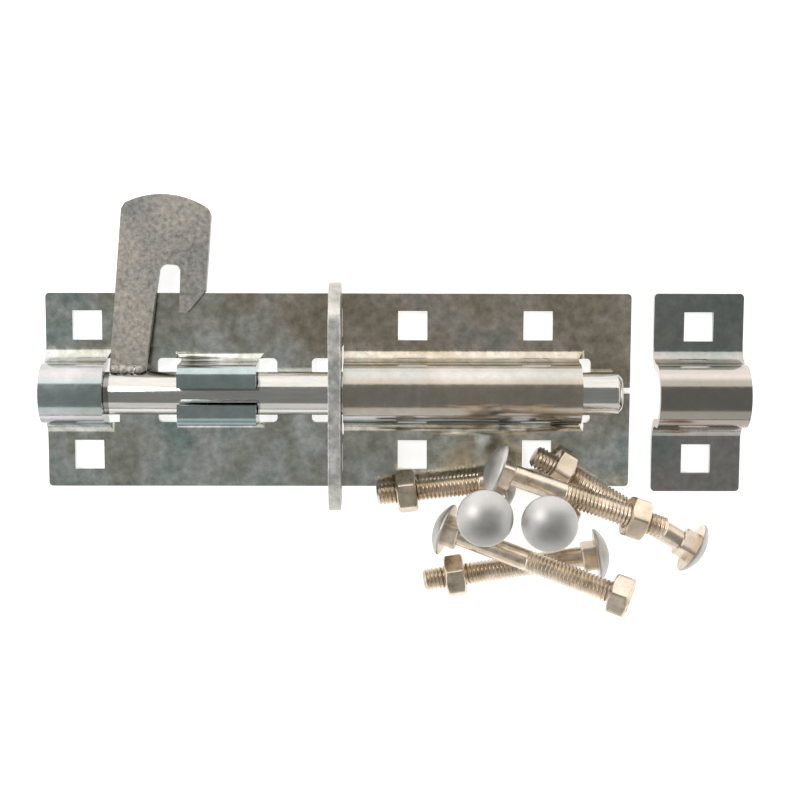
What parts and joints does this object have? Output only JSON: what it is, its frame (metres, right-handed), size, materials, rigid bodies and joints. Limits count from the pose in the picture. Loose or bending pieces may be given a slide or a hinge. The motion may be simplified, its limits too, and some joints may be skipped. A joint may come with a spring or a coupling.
{
  "type": "barrel bolt",
  "caption": "Padlockable barrel bolt: round rod in pressed guides, turning flag handle, cross plate for a padlock, strap keeper and loose cup-head bolts with nuts.",
  "frame": {"origin": "on the back face of the back plate, on the rod's line, at the middle of the flat land between the slotted guide's window and the padlock plate's", "axes": "+X along the rod towards the keeper, +Y across the plate towards the handle, +Z out of the plate's face"},
  "size_m": [0.1789, 0.1054, 0.048],
  "materials": {
    "strip_zinc": "bright zinc over rolled strip",
    "plate_zinc": "bright zinc",
    "rod_zinc": "glossy zinc over drawn bar",
    "flag_zinc": "dull zinc",
    "fixing_zinc": "bright zinc with a warm tint"
  },
  "bodies": {
    "plate": {"back_plate": "strip_zinc", "padlock_plate": "plate_zinc", "keeper_strap": "strip_zinc", "cup_bolt_1": "fixing_zinc", "hex_nut_1": "fixing_zinc", "cup_bolt_2": "fixing_zinc", "hex_nut_2": "fixing_zinc", "cup_bolt_3": "fixing_zinc", "hex_nut_3": "fixing_zinc", "cup_bolt_4": "fixing_zinc", "hex_nut_4": "fixing_zinc", "cup_bolt_5": "fixing_zinc", "hex_nut_5": "fixing_zinc", "cup_bolt_6": "fixing_zinc", "hex_nut_6": "fixing_zinc", "cup_bolt_7": "fixing_zinc", "hex_nut_7": "fixing_zinc"},
    "rod": {"bolt_rod": "rod_zinc"},
    "flag": {"handle_flag": "flag_zinc"}
  },
  "joints": [
    {"name": "rod_slide", "type": "slide", "parent": "plate", "child": "rod", "axis": [1, 0, 0], "range_m": [0, 0.0065]},
    {"name": "flag_turn", "type": "hinge", "parent": "rod", "child": "flag", "pos_m": [-0.0419, 0, 0.008], "axis": [1, 0, 0], "range_deg": [0, 194]}
  ]
}
